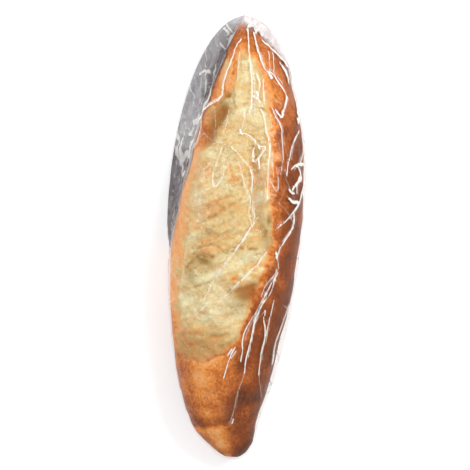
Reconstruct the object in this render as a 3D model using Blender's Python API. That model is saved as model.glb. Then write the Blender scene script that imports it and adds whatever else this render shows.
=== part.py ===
"""A pointed white loaf lying in its sealed clear bag, as the one closed solid that the film bounds.

The long axis is Y, the opened cut of the crust faces +Z, and the loaf rests on the flat of its base at z = 0.
Every cross-section is worked out from the bread under the film and from the lines where the loose film
reaches the table: the film is stretched straight over both, so a section is the hull of the two. Pleats,
the sag over the cut and the swollen lip of the crust are then pressed into that hull.
"""

import bmesh
import bpy
import numpy as np

# The bag seen from above, in metres.
BAG_TOP_END = 0.1940
BAG_LOW_END = -0.1940
BAG_HALF_WIDTH = 0.0596
BAG_WIDEST_Y = 0.0250
LOW_END_FULLNESS = 1.7
LOW_END_ROUNDING = 0.55

# The loaf under the film.
LOAF_TOP_END = 0.1870
LOAF_LOW_END = -0.1915
LOAF_HALF_WIDTH = 0.0550
LOAF_WIDEST_Y = -0.0200
LOAF_TOP_POWER = 2.0
LOAF_LOW_POWER = 1.5
LOAF_TOP_POINTEDNESS = 0.60
LOAF_LOW_POINTEDNESS = 0.50
LOAF_HEIGHT = 0.0715
LOAF_LEAN = 0.0085
TIP_HEIGHT = 0.0190
TIP_UNDERSIDE = 0.0140
FLAT_BASE_SHARE = 0.50
CREST_POWER = 2.6
CREST_ROUNDING = 0.75
BELLY_SHARE = 0.37
BASE_DEPTH_SHARE = 1.18
DOME_ROUNDNESS = 2.15
BASE_ROUNDNESS = 2.6

# How the film lies on it.
FILM_CLEARANCE = 0.0013
END_CAP_LENGTH = 0.0006
LOOSE_EDGE_THICKNESS = 0.0030
CUT_SAG = 0.0017
LIP_RISE = 0.0013
LIP_WIDTH = 0.0060
PLEAT_COUNT = 20
PLEAT_DEPTH_AT_ENDS = 0.0030
PLEAT_DEPTH_MIDDLE = 0.0004
PLEAT_REACH = 0.075
PLEAT_TWIST = 0.9
PLEAT_CLEAR_OF_TABLE = 0.010
PLEAT_SLIMMEST_SECTION = 0.016

# The opened cut along the top: left and right border at each distance along the loaf.
CUT_Y = (-0.113, -0.100, -0.060, -0.015, 0.040, 0.075, 0.117, 0.156)
CUT_LEFT = (-0.030, -0.041, -0.045, -0.043, -0.039, -0.028, -0.015, -0.003)
CUT_RIGHT = (-0.018, -0.002, 0.019, 0.033, 0.031, 0.027, 0.022, 0.000)

# How finely the solid is faceted.
STATIONS = 54
POINTS_AROUND = 80
SECTION_SAMPLES = 240

FILM_COLOUR = (0.86, 0.77, 0.63, 1.0)
FILM_ROUGHNESS = 0.22


def eased(start, end, value):
    """0 before start, 1 after end, and a smooth S between them."""
    t = np.clip((value - start) / (end - start), 0.0, 1.0)
    return t * t * (3.0 - 2.0 * t)


def share_to_end(y, widest, low_end, top_end):
    """How far y is from the widest place, as a share of the way to the nearer end."""
    reach = np.where(y > widest, top_end - widest, low_end - widest)
    return np.clip((y - widest) / reach, 0.0, 1.0)


def bag_half_width(y):
    """The bag's outline from above: a quarter ellipse to the top end, a fuller power curve to the low end."""
    t = share_to_end(y, BAG_WIDEST_Y, BAG_LOW_END, BAG_TOP_END)
    towards_top = np.sqrt(1.0 - t**2)
    towards_low = (1.0 - t**LOW_END_FULLNESS) ** LOW_END_ROUNDING
    return BAG_HALF_WIDTH * np.where(y > BAG_WIDEST_Y, towards_top, towards_low)


def loaf_half_width(y):
    """The loaf's outline from above, a power curve to a point at both ends."""
    t = share_to_end(y, LOAF_WIDEST_Y, LOAF_LOW_END, LOAF_TOP_END)
    towards_top = (1.0 - t**LOAF_TOP_POWER) ** LOAF_TOP_POINTEDNESS
    towards_low = (1.0 - t**LOAF_LOW_POWER) ** LOAF_LOW_POINTEDNESS
    return LOAF_HALF_WIDTH * np.where(y > LOAF_WIDEST_Y, towards_top, towards_low)


def loaf_centre(y):
    """The loaf's middle line from above: it leans to the right half way up, and each tip swings back."""
    lean = LOAF_LEAN * eased(-0.050, 0.090, y)
    top_tip = -1.3 * LOAF_LEAN * eased(0.148, 0.190, y)
    low_tip = 1.1 * LOAF_LEAN * eased(0.150, 0.192, -y)
    return lean + top_tip + low_tip


def crest_height(y):
    """The height of the loaf's back, a long arch from tip to tip."""
    t = share_to_end(y, 0.0, LOAF_LOW_END, LOAF_TOP_END)
    return TIP_HEIGHT + (LOAF_HEIGHT - TIP_HEIGHT) * (1.0 - t**CREST_POWER) ** CREST_ROUNDING


def tip_lift(y):
    """How far the underside of the loaf is off the table near its ends; the rest of it lies flat."""
    t = share_to_end(y, 0.0, LOAF_LOW_END, LOAF_TOP_END)
    beyond = np.clip((t - FLAT_BASE_SHARE) / (1.0 - FLAT_BASE_SHARE), 0.0, 1.0)
    return TIP_UNDERSIDE * beyond**3


def loaf_section(y):
    """Points round the bread at y: an arched dome above its widest height, a flattened base below."""
    turn = np.linspace(0.0, 2.0 * np.pi, SECTION_SAMPLES, endpoint=False)
    across, up = np.cos(turn), np.sin(turn)
    half_width = loaf_half_width(y) + FILM_CLEARANCE
    crest = crest_height(y) + FILM_CLEARANCE
    lift = tip_lift(y)
    belly = lift + BELLY_SHARE * (crest - lift)
    roundness = np.where(up > 0.0, DOME_ROUNDNESS, BASE_ROUNDNESS)
    x = np.sign(across) * np.abs(across) ** (2.0 / roundness)
    z = np.sign(up) * np.abs(up) ** (2.0 / roundness)
    depth = np.where(up > 0.0, crest - belly, BASE_DEPTH_SHARE * (belly - lift))
    points_x = loaf_centre(y) + half_width * x
    points_z = np.maximum(belly + depth * z, lift)
    return points_x, points_z, belly


def loose_film_feet(y):
    """Where the loose film ends beside the loaf: all down the left of the upper half, and round the top end."""
    width = bag_half_width(y)
    base = 0.62 * loaf_half_width(y)
    left_loose = eased(-0.120, 0.010, y)
    right_loose = eased(0.085, 0.150, y)
    left = -(base + (width - base) * left_loose)
    right = base + (width - base) * right_loose
    low = tip_lift(y) * (1.0 - right_loose)
    left_edge = low + LOOSE_EDGE_THICKNESS * left_loose
    right_edge = low + LOOSE_EDGE_THICKNESS * right_loose
    foot_x = np.array([left, left, right, right])
    foot_z = np.array([low, left_edge, low, right_edge])
    return foot_x, foot_z


def stretched_section(y):
    """The film's section at y, as POINTS_AROUND points evenly spaced along it from the middle of the base.

    The hull of the bread and the loose film's feet is found by its support function: in each direction
    from the middle, the nearest of the straight lines that hold every point on their inner side.
    """
    x, z, belly = loaf_section(y)
    foot_x, foot_z = loose_film_feet(y)
    centre = np.array([loaf_centre(y), belly])
    points = np.stack([np.append(x, foot_x), np.append(z, foot_z)], axis=1) - centre
    turn = np.linspace(-0.5 * np.pi, 1.5 * np.pi, 4 * SECTION_SAMPLES + 1)
    ways = np.stack([np.cos(turn), np.sin(turn)], axis=1)
    support = (points @ ways.T).max(axis=0)
    facing = ways @ ways.T
    reach = np.where(facing > 0.02, support[None, :] / np.maximum(facing, 0.02), np.inf).min(axis=1)
    outline = centre + reach[:, None] * ways
    run = np.append(0.0, np.cumsum(np.hypot(*np.diff(outline, axis=0).T)))
    places = np.linspace(0.0, run[-1], POINTS_AROUND, endpoint=False)
    return np.stack([np.interp(places, run, outline[:, 0]), np.interp(places, run, outline[:, 1])], axis=1)


def outward(section):
    """The direction out of the section at each of its points, square to the line between its neighbours."""
    along = np.roll(section, -1, axis=0) - np.roll(section, 1, axis=0)
    out = np.stack([along[:, 1], -along[:, 0]], axis=1)
    return out / np.maximum(np.hypot(out[:, 0], out[:, 1]), 1e-9)[:, None]


def pleat_press(y):
    """How far each point is pressed in by pleats: narrow ridges with wide valleys that run in to both ends."""
    place = np.arange(POINTS_AROUND) / POINTS_AROUND
    to_end = np.minimum(BAG_TOP_END - y, y - BAG_LOW_END)
    strength = PLEAT_DEPTH_MIDDLE + PLEAT_DEPTH_AT_ENDS * np.exp(-to_end / PLEAT_REACH)
    wander = 0.35 * np.sin(2.0 * np.pi * (2.0 * place + 9.0 * y)) + PLEAT_TWIST * np.sin(11.0 * y)
    ridge = np.abs(np.sin(np.pi * PLEAT_COUNT * place + wander))
    uneven = 0.65 + 0.35 * np.sin(2.0 * np.pi * (3.0 * place + 4.0 * y) + 1.0)
    return strength * uneven * ridge


def over_the_cut(x, y):
    """1 over the middle of the opened cut, and 0 on its borders and past them."""
    left = np.interp(y, CUT_Y, CUT_LEFT)
    right = np.interp(y, CUT_Y, CUT_RIGHT)
    across = np.clip((x - left) / (right - left), 0.0, 1.0)
    ends = eased(CUT_Y[0], CUT_Y[0] + 0.020, y) * (1.0 - eased(CUT_Y[-1] - 0.030, CUT_Y[-1], y))
    return np.sin(np.pi * across) ** 0.7 * ends


def lip_beside_the_cut(x, y):
    """1 on the swollen lip of the crust to the right of the cut, fading to each side of it and to its ends."""
    right = np.interp(y, CUT_Y, CUT_RIGHT) + 0.5 * LIP_WIDTH
    along = eased(-0.100, -0.040, y) * (1.0 - eased(0.080, 0.130, y))
    return np.exp(-(((x - right) / LIP_WIDTH) ** 2)) * along


def film_section(y):
    """One ring of the bag, in x and z: the stretched film with its pleats, its sag and its lip pressed in."""
    section = stretched_section(y)
    x, z = section[:, 0], section[:, 1]
    free = eased(0.0, PLEAT_CLEAR_OF_TABLE, z - tip_lift(y))
    room = min(1.0, loaf_half_width(y) / PLEAT_SLIMMEST_SECTION)
    upper = eased(0.3, 0.7, z / z.max())
    push = LIP_RISE * upper * lip_beside_the_cut(x, y) - CUT_SAG * upper * over_the_cut(x, y)
    push = push - room * free * pleat_press(y)
    pressed = section + push[:, None] * outward(section)
    pressed[:, 1] = np.maximum(pressed[:, 1], 0.0)
    return pressed


def station_places():
    """Distances along the bag, close together near the ends and wider apart in the middle."""
    turn = np.linspace(0.0, np.pi, STATIONS)
    middle = 0.5 * (BAG_TOP_END + BAG_LOW_END)
    half = 0.5 * (BAG_TOP_END - BAG_LOW_END) - 4.0 * END_CAP_LENGTH
    return middle - half * np.cos(turn)


def add_ring(bm, y):
    """Adds one section as a closed loop of edges, and returns those edges."""
    verts = [bm.verts.new((x, y, z)) for x, z in film_section(y)]
    return [bm.edges.new((verts[i], verts[i - 1])) for i in range(len(verts))]


def cap_ring(bm, edges, step):
    """Closes an end ring with a shallow cone whose point is step further along Y."""
    face = bmesh.ops.contextual_create(bm, geom=edges)["faces"][0]
    tip = bmesh.ops.poke(bm, faces=[face])["verts"][0]
    tip.co.y += step


def film_material():
    """The plain stand-in for clear film over bread: a glossy pale straw colour."""
    material = bpy.data.materials.new("clear_film_over_bread")
    material.use_nodes = True
    shader = material.node_tree.nodes["Principled BSDF"]
    shader.inputs["Base Color"].default_value = FILM_COLOUR
    shader.inputs["Roughness"].default_value = FILM_ROUGHNESS
    shader.inputs["Metallic"].default_value = 0.0
    return material


def build_bagged_loaf():
    """Joins the rings end to end into one closed body."""
    bm = bmesh.new()
    rings = [add_ring(bm, y) for y in station_places()]
    for ring, following in zip(rings, rings[1:]):
        bmesh.ops.bridge_loops(bm, edges=ring + following)
    cap_ring(bm, rings[0], -END_CAP_LENGTH)
    cap_ring(bm, rings[-1], END_CAP_LENGTH)
    bmesh.ops.recalc_face_normals(bm, faces=bm.faces)
    across = [vert.co.x for vert in bm.verts]
    bmesh.ops.translate(bm, verts=bm.verts, vec=(-0.5 * (min(across) + max(across)), 0.0, 0.0))
    mesh = bpy.data.meshes.new("bagged_loaf")
    bm.to_mesh(mesh)
    bm.free()
    mesh.shade_smooth()
    mesh.materials.append(film_material())
    bagged_loaf = bpy.data.objects.new("bagged_loaf", mesh)
    bpy.context.scene.collection.objects.link(bagged_loaf)
    return bagged_loaf


def clear_scene():
    """Removes whatever objects the file opened with."""
    for old in list(bpy.data.objects):
        bpy.data.objects.remove(old, do_unlink=True)


clear_scene()
build_bagged_loaf()
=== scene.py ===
"""A pointed white loaf in its sealed clear bag: the bread, the creased film round it, and a plain stage.

Both pieces are grids of cross-sections set one behind the other along Y. All shape functions work in
millimetres and whole arrays; MM turns them into the frame's metres.
"""

import math

import bpy
import numpy as np
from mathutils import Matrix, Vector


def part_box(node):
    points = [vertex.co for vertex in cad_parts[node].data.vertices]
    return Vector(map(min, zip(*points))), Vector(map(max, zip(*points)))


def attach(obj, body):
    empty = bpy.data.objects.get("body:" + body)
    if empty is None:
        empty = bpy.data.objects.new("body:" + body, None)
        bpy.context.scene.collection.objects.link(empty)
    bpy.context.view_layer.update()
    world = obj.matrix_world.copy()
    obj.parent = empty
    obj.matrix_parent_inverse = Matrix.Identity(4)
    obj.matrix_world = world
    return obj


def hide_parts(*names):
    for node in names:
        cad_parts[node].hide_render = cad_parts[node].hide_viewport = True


bl_info = {
    "name": "Bagged loaf",
    "version": (1, 0, 0),
    "blender": (4, 5, 0),
    "location": "View3D > Sidebar > Bagged loaf",
    "description": "Builds a pointed white loaf in a creased clear bag round its packed frame",
    "category": "Add Mesh",
}

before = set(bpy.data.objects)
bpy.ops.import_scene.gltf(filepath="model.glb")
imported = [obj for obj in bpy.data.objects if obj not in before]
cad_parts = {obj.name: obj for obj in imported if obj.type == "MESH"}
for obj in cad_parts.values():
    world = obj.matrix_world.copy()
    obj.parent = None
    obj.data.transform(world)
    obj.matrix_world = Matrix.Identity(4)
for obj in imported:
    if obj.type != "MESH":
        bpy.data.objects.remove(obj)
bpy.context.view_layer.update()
BAG_LOW, BAG_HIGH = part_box("bagged_loaf")

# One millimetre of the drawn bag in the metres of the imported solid.
BAG_LENGTH = 384.4
MM = (BAG_HIGH[1] - BAG_LOW[1]) / BAG_LENGTH

# The bag and the loaf seen from above, and the loaf's back, in millimetres. They are part.py's own sizes.
BAG_END = 194.0
BAG_HALF_WIDTH = 59.6
BAG_WIDEST_Y = 25.0
LOAF_TOP_END = 187.0
LOAF_LOW_END = -191.5
LOAF_HALF_WIDTH = 55.0
LOAF_WIDEST_Y = -20.0
LOAF_HEIGHT = 71.5
LOAF_LEAN = 8.5
TIP_HEIGHT = 19.0
TIP_UNDERSIDE = 14.0
BELLY_SHARE = 0.37
DOME_ROUNDNESS = 2.15
BASE_ROUNDNESS = 2.6

# The opened cut's outline from above, from its point at the gathered end round by the right.
CUT_OUTLINE = (
    (-3, 163), (7, 157), (17, 139), (22, 118), (27, 96), (28, 76), (29, 55), (31, 40), (33, 20), (35, 0),
    (34, -15), (30, -30), (25, -44), (18, -64), (12, -80), (5, -94), (-4, -102), (-16, -107), (-32, -111),
    (-43, -109), (-46.5, -94), (-45.5, -60), (-45, -33), (-44, 0), (-42, 37), (-37, 56), (-31, 74), (-31, 94),
    (-29, 110), (-17, 113), (-17, 122), (-9, 124), (-9, 142),
)
CUT_MIDDLE_Y = (-112, -60, -15, 40, 75, 117, 156)
CUT_MIDDLE_X = (-27, -14, -5, -4, 0, 4, -2)
TORN_FLAP = ((-29, 150), (-20, 152), (-9, 152), (-8, 125), (-13, 122), (-17, 122), (-18, 114), (-28, 111))

# The opened cut's own creases, each as (depth, points): slanting stretch marks and the edges of its lobes.
FURROWS = (
    (1.0, (-6, -15), (3, -11), (14, -12), (24, -10)),
    (0.9, (-34, -18), (-28, -12), (-20, -10), (-10, -12), (-4, -17)),
    (0.8, (-32, -47), (-24, -43), (-16, -41), (-9, -32)),
    (0.8, (-38, -30), (-33, -22), (-26, -18), (-17, -20)),
    (0.7, (-24, 22), (-17, 26), (-9, 31), (1, 33)),
    (0.7, (-26, 10), (-19, 15), (-12, 20), (-4, 24), (4, 29)),
    (0.6, (-27, -1), (-18, 5), (-8, 9), (2, 16)),
    (0.5, (-38, 2), (-30, 4), (-20, -2), (-8, 0), (2, 5)),
    (0.6, (-12, 36), (-3, 41), (5, 43)),
    (0.9, (4, 112), (13, 109), (24, 105)),
    (0.7, (10, 80), (14, 70), (13, 58), (13, 40), (13, 26)),
    (0.6, (-12, 84), (-4, 88), (6, 86), (17, 80)),
    (0.6, (-10, 150), (-6, 138), (-8, 124), (-6, 108)),
    (0.6, (-40, -70), (-24, -66), (-6, -70), (8, -66)),
    (0.5, (-42, -88), (-28, -84), (-12, -88), (0, -84)),
    (0.8, (30, -34), (20, -42), (8, -46), (-2, -50)),
)

# The swollen tip of the low end, seen from above: its near edge overhangs the crust beside it a little.
LOW_TIP = (
    (-34, -167), (-10, -166), (3, -163), (8, -156), (12, -149), (26, -140), (44, -138), (44, -204),
    (-34, -204),
)

# Short thick folds, each with a painted glint along it, as (strength, points).
GLINTS = (
    (1.6, (45, 58), (48, 62), (55, 64)), (1.3, (50, 62), (53, 57), (54, 52)),
    (1.9, (47, 41), (50, 46), (53, 52)), (2.0, (45, 33), (48, 30), (52, 31)),
    (1.3, (44, 41), (46, 38), (49, 38)), (2.8, (36.5, -14), (37.5, -18)), (2.4, (22, 138), (24, 135)),
    (1.7, (12, 122), (14, 118), (12, 115)), (1.4, (9, 118), (13, 116), (16, 112)),
    (1.9, (-40, 140), (-35, 143), (-31, 141)), (1.2, (47, 119), (50, 114), (47, 109), (50, 104), (49, 99)),
    (1.0, (50, 118), (48, 112), (51, 107), (48, 102)), (1.6, (-56, 86), (-54, 78), (-56, 70), (-55, 64)),
    (1.5, (-50, 86), (-53, 77), (-51, 68), (-52, 60)), (2.2, (-39, 99), (-42, 93), (-46, 86)),
    (1.5, (-46, 70), (-49, 60), (-48, 50)), (1.3, (-51, 96), (-49, 88), (-51, 82)),
    (1.6, (15, 77), (17, 73)), (1.4, (0, 88), (2, 84)), (1.2, (17, 64), (18, 56)),
    (1.7, (7, 189), (4, 184), (9, 181), (8, 176)), (1.5, (-1, 190), (3, 187), (1, 181)),
    (1.2, (13, 186), (11, 180), (14, 175)), (1.3, (40, -100), (39, -107)), (1.2, (4, -96), (1, -102)),
    (1.0, (8, -98), (4, -104)), (0.9, (9, -156), (8, -160)), (1.2, (-20, 181), (-16, 176), (-18, 171)),
    (1.0, (-24, 168), (-19, 160)), (1.3, (33, 101), (36, 104)),
)

# The film's longest folds, each as (strength, points), seen from above. Each is a ridge with a painted
# highlight along it.
FOLDS = (
    (1.0, (1, 178), (3, 161), (5, 145), (7, 136), (8, 115), (7, 104)),
    (1.0, (6, 176), (10, 161), (14, 149), (18, 141), (25, 139), (30, 131), (38, 122), (37, 112), (34, 106)),
    (1.0, (-4, 169), (-9, 160), (-12, 147), (-15, 136), (-17, 127), (-17, 115), (-28, 109), (-34, 105)),
    (0.9, (-25, 155), (-25, 146), (-27, 134), (-28, 126), (-28, 116), (-33, 111), (-34, 104)),
    (1.0, (14, 169), (24, 161), (33, 153), (41, 144), (44, 138)),
    (0.7, (-5, 157), (-5, 145), (-5, 132)),
    (0.7, (20, 159), (22, 141)),
    (0.8, (24, 159), (25, 141)),
    (1.0, (30, 150), (37, 141), (39, 133)),
    (0.8, (33, 148), (39, 139), (39, 133)),
    (1.0, (-33, 141), (-35, 130), (-35, 112)),
    (0.9, (11, 138), (15, 127), (12, 118)),
    (0.9, (17, 133), (17, 124), (19, 114)),
    (0.5, (-7, 122), (-9, 113), (-11, 103), (-13, 92), (-14, 83)),
    (0.7, (-18, 185), (-13, 176)),
    (0.8, (2, 192), (4, 185), (0, 178)),
    (0.8, (9, 192), (6, 184), (8, 176)),
    (0.8, (25, 109), (30, 100), (34, 94), (36, 81), (37, 63), (36, 52)),
    (1.0, (28, 108), (35, 100), (35, 106), (38, 120)),
    (0.9, (50, 92), (46, 84), (44, 75), (42, 64), (41, 52)),
    (0.7, (52, 92), (54, 82), (55, 73), (53, 66), (48, 58)),
    (0.7, (3, 106), (3, 99), (1, 89), (-1, 84)),
    (0.9, (-1, 85), (6, 85), (15, 78), (11, 70), (13, 59), (18, 67), (23, 75), (16, 75)),
    (0.8, (8, 111), (6, 100), (12, 106), (16, 107), (19, 102), (21, 90), (25, 80), (25, 63), (26, 31)),
    (0.6, (28, 71), (30, 50)),
    (0.8, (-3, 70), (1, 66), (10, 57), (12, 49), (13, 40), (12, 27), (11, 16), (13, 12)),
    (0.7, (0, 64), (4, 50), (7, 41), (12, 31)),
    (1.0, (-34, 101), (-37, 94), (-39, 84), (-42, 75), (-44, 64), (-46, 53), (-48, 46)),
    (0.7, (-34, 98), (-34, 87), (-36, 78), (-40, 72), (-43, 64)),
    (0.8, (-56, 75), (-52, 61), (-49, 49)),
    (0.9, (-39, 102), (-43, 94), (-45, 85)),
    (0.8, (-14, 74), (-16, 66), (-19, 56), (-21, 47), (-20, 39), (-17, 38), (-12, 47), (-11, 55), (-3, 65)),
    (0.7, (-17, 77), (-9, 74), (-3, 70), (0, 67)),
    (0.4, (-29, 54), (-30, 30), (-31, 8)),
    (0.5, (-34, 6), (-37, -3), (-40, -20), (-42, -60)),
    (0.7, (14, 23), (17, 16), (14, 10), (13, 2), (8, -7), (2, -14)),
    (0.6, (23, 45), (25, 30)),
    (0.7, (28, 46), (32, 39), (35, 40), (34, 50)),
    (0.6, (35, 40), (32, 34), (29, 27)),
    (0.9, (54, 50), (50, 46), (51, 38)),
    (1.0, (57, 49), (55, 38), (53, 29), (49, 23), (44, 15), (39, 10), (34, 6)),
    (1.0, (49, 22), (50, 16), (49, 7), (43, -3), (39, -9), (38, -16)),
    (0.9, (18, 13), (12, 3), (3, -11), (-6, -25), (-14, -39), (-19, -49), (-22, -57)),
    (1.0, (28, -13), (22, -23), (12, -33), (3, -44), (-5, -53), (-19, -69)),
    (0.7, (-11, -51), (-21, -63), (-29, -71), (-39, -83)),
    (0.8, (38, -20), (39, -28), (29, -40), (25, -51)),
    (1.0, (39, -30), (31, -45), (26, -56), (20, -68), (14, -80), (12, -90), (13, -96), (12, -106)),
    (1.0, (37, -36), (34, -48), (26, -59), (21, -72), (20, -84), (18, -95), (16, -105), (16, -116)),
    (0.9, (30, -62), (29, -70), (31, -78), (31, -88), (29, -96), (29, -107), (28, -117)),
    (0.8, (37, -53), (35, -65), (33, -78), (31, -89)),
    (0.7, (30, -62), (24, -69), (21, -76)),
    (0.5, (16, -116), (11, -131), (10, -138), (9, -147), (6, -160)),
    (1.0, (7, -94), (3, -103), (-1, -121)),
    (0.5, (-9, -131), (-16, -139)),
    (0.8, (50, -57), (44, -78), (40, -92), (40, -106)),
)


# ---------------------------------------------------------------------------------------------------------
# Settings


class BreadSettings(bpy.types.PropertyGroup):
    """Sizes and colours of the bread."""

    film_gap: bpy.props.FloatProperty(
        name="Film gap",
        description="How far the smooth crust lies inside the solid's bread section",
        default=0.6 * MM, min=0.0, unit="LENGTH",
    )
    lip_rise: bpy.props.FloatProperty(
        name="Lip rise",
        description="How far the torn crust stands up beside the opened cut",
        default=1.6 * MM, min=0.0, unit="LENGTH",
    )
    groove_depth: bpy.props.FloatProperty(
        name="Groove depth",
        description="How deep the cut is along its right border",
        default=2.6 * MM, min=0.0, unit="LENGTH",
    )
    crumb_colour: bpy.props.FloatVectorProperty(
        name="Opened cut",
        description="The palest bread, in the middle of the opened cut",
        default=(0.92, 0.82, 0.5), min=0.0, max=1.0, size=3, subtype="COLOR",
    )
    straw_colour: bpy.props.FloatVectorProperty(
        name="Straw",
        description="The cut's yellower and more baked parts",
        default=(0.8, 0.55, 0.23), min=0.0, max=1.0, size=3, subtype="COLOR",
    )
    pale_crust_colour: bpy.props.FloatVectorProperty(
        name="Pale crust",
        description="Crust baked least, down the left of the cut",
        default=(0.90, 0.44, 0.17), min=0.0, max=1.0, size=3, subtype="COLOR",
    )
    golden_colour: bpy.props.FloatVectorProperty(
        name="Golden crust",
        description="Crust of the low end",
        default=(0.84, 0.31, 0.068), min=0.0, max=1.0, size=3, subtype="COLOR",
    )
    orange_colour: bpy.props.FloatVectorProperty(
        name="Orange crust",
        description="Crust between the golden and the brown",
        default=(0.56, 0.16, 0.032), min=0.0, max=1.0, size=3, subtype="COLOR",
    )
    # The darkest brown of the crust; the ramp gives it to the right flank.
    brown_colour: bpy.props.FloatVectorProperty(
        name="Brown crust",
        description="Crust baked most, on the right flank",
        default=(0.28, 0.066, 0.013), min=0.0, max=1.0, size=3, subtype="COLOR",
    )
    dark_colour: bpy.props.FloatVectorProperty(
        name="Scorched",
        description="Bottoms of pits and the darkest specks",
        default=(0.11, 0.034, 0.013), min=0.0, max=1.0, size=3, subtype="COLOR",
    )
    hollow_colour: bpy.props.FloatVectorProperty(
        name="Hollows",
        description="What the shaded hollows of the cut multiply the bread's colour by",
        default=(0.48, 0.37, 0.22), min=0.0, max=1.0, size=3, subtype="COLOR",
    )


class FilmSettings(bpy.types.PropertyGroup):
    """Sizes and colours of the clear bag."""

    ridge_height: bpy.props.FloatProperty(
        name="Ridge height",
        description="How far a fold stands out of the film",
        default=0.5 * MM, min=0.0, unit="LENGTH",
    )
    crumple_depth: bpy.props.FloatProperty(
        name="Crumple depth",
        description="How deep the loose film is crumpled",
        default=2.0 * MM, min=0.0, unit="LENGTH",
    )
    small_folds: bpy.props.IntProperty(
        name="Small folds",
        description="How many short folds lie all over the bag between the long ones",
        default=200, min=0,
    )
    # Painted highlight: the white painted along the film's folds.
    fold_highlight_colour: bpy.props.FloatVectorProperty(
        name="Fold colour",
        description="Film stretched white along its folds",
        default=(0.96, 0.92, 0.85), min=0.0, max=1.0, size=3, subtype="COLOR",
    )
    # Painted reflection: the pinkish white painted over the film at the top end.
    blush_reflection_colour: bpy.props.FloatVectorProperty(
        name="Gathered film",
        description="The pinkish white of the film gathered at the top end",
        default=(0.97, 0.87, 0.89), min=0.0, max=1.0, size=3, subtype="COLOR",
    )
    # Painted shade: the darkest grey painted over the loose film.
    dark_shade_colour: bpy.props.FloatVectorProperty(
        name="Dark loose film",
        description="The darkest grey of several loose layers seen at once",
        default=(0.092, 0.064, 0.070), min=0.0, max=1.0, size=3, subtype="COLOR",
    )
    # Painted shade: the lightest grey painted over the loose film.
    light_shade_colour: bpy.props.FloatVectorProperty(
        name="Light loose film",
        description="The lightest grey of several loose layers seen at once",
        default=(0.66, 0.65, 0.68), min=0.0, max=1.0, size=3, subtype="COLOR",
    )
    tint: bpy.props.FloatVectorProperty(
        name="Clear film",
        description="What one layer of the film lets through",
        default=(0.975, 0.97, 0.965), min=0.0, max=1.0, size=3, subtype="COLOR",
    )


class StageSettings(bpy.types.PropertyGroup):
    """The floor, the lamps and the camera."""

    floor_colour: bpy.props.FloatVectorProperty(
        name="Floor",
        description="Colour of the floor",
        default=(0.86, 0.86, 0.86), min=0.0, max=1.0, size=3, subtype="COLOR",
    )
    key_power: bpy.props.FloatProperty(
        name="Key lamp",
        description="Power of the large lamp at the upper right",
        default=11.5, min=0.0, unit="POWER",
    )
    fill_power: bpy.props.FloatProperty(
        name="Fill lamp",
        description="Power of the lamp at the upper left",
        default=6.0, min=0.0, unit="POWER",
    )
    sky_strength: bpy.props.FloatProperty(
        name="Room light",
        description="Strength of the even light from all round",
        default=0.50, min=0.0,
    )
    camera_turn: bpy.props.FloatProperty(
        name="Camera turn",
        description="How far the camera is turned round the loaf",
        default=math.radians(3.5), subtype="ANGLE",
    )
    camera_height: bpy.props.FloatProperty(
        name="Camera distance",
        description="How far the camera is from the loaf",
        default=1.5, min=0.1, unit="LENGTH",
    )


# ---------------------------------------------------------------------------------------------------------
# Shape functions, in millimetres


def eased(start, end, value):
    """0 before start, 1 after end, and a smooth S between them."""
    t = np.clip((value - start) / (end - start), 0.0, 1.0)
    return t * t * (3.0 - 2.0 * t)


def hump(value, middle, reach):
    """A bell curve of height 1 at middle that has faded to about a third at reach from it."""
    return np.exp(-(((value - middle) / reach) ** 2))


def spot(x, y, middle, reach):
    """The product of two bell curves: an oval spot at middle."""
    return hump(x, middle[0], reach[0]) * hump(y, middle[1], reach[1])


def share_to_end(y, widest, low_end, top_end):
    """How far y is from the widest place, as a share of the way to the nearer end."""
    reach = np.where(y > widest, top_end - widest, low_end - widest)
    return np.clip((y - widest) / reach, 0.0, 1.0)


def bag_half_width(y):
    """The bag's outline from above: a quarter ellipse to the top end, a fuller power curve to the low end."""
    t = share_to_end(y, BAG_WIDEST_Y, -BAG_END, BAG_END)
    return BAG_HALF_WIDTH * np.where(y > BAG_WIDEST_Y, np.sqrt(1.0 - t**2), (1.0 - t**1.7) ** 0.55)


def loaf_half_width(y):
    """The loaf's outline from above, a power curve to a point at both ends."""
    t = share_to_end(y, LOAF_WIDEST_Y, LOAF_LOW_END, LOAF_TOP_END)
    return LOAF_HALF_WIDTH * np.where(y > LOAF_WIDEST_Y, (1.0 - t**2.0) ** 0.60, (1.0 - t**1.5) ** 0.50)


def loaf_centre(y):
    """The loaf's middle line from above: it leans to the right half way up, and each tip swings back."""
    lean = LOAF_LEAN * eased(-50.0, 90.0, y)
    top_tip = -1.3 * LOAF_LEAN * eased(148.0, 190.0, y)
    return lean + top_tip + 1.1 * LOAF_LEAN * eased(150.0, 192.0, -y)


def crest_height(y):
    """The height of the loaf's back, a long arch from tip to tip."""
    t = share_to_end(y, 0.0, LOAF_LOW_END, LOAF_TOP_END)
    return TIP_HEIGHT + (LOAF_HEIGHT - TIP_HEIGHT) * (1.0 - t**2.6) ** 0.75


def tip_lift(y):
    """How far the underside of the loaf is off the table near its ends; the rest of it lies flat."""
    t = share_to_end(y, 0.0, LOAF_LOW_END, LOAF_TOP_END)
    return TIP_UNDERSIDE * np.clip((t - 0.5) / 0.5, 0.0, 1.0) ** 3


def loaf_section(y, turn, gap):
    """Points round the bread at y: an arched dome above its widest height, a flattened base below.

    Each half is a power of the cosine across and of the sine upwards, and gap moves it all outwards.
    """
    across, up = np.cos(turn), np.sin(turn)
    lift = tip_lift(y)
    crest = crest_height(y) + gap
    belly = lift + BELLY_SHARE * (crest - lift)
    roundness = np.where(up > 0.0, DOME_ROUNDNESS, BASE_ROUNDNESS)
    x = np.sign(across) * np.abs(across) ** (2.0 / roundness)
    z = np.sign(up) * np.abs(up) ** (2.0 / roundness)
    depth = np.where(up > 0.0, crest - belly, 1.18 * (belly - lift))
    half_width = np.maximum(loaf_half_width(y) + gap, 0.3)
    return loaf_centre(y) + half_width * x, np.maximum(belly + depth * z, lift + np.maximum(-gap, 0.0))


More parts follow.
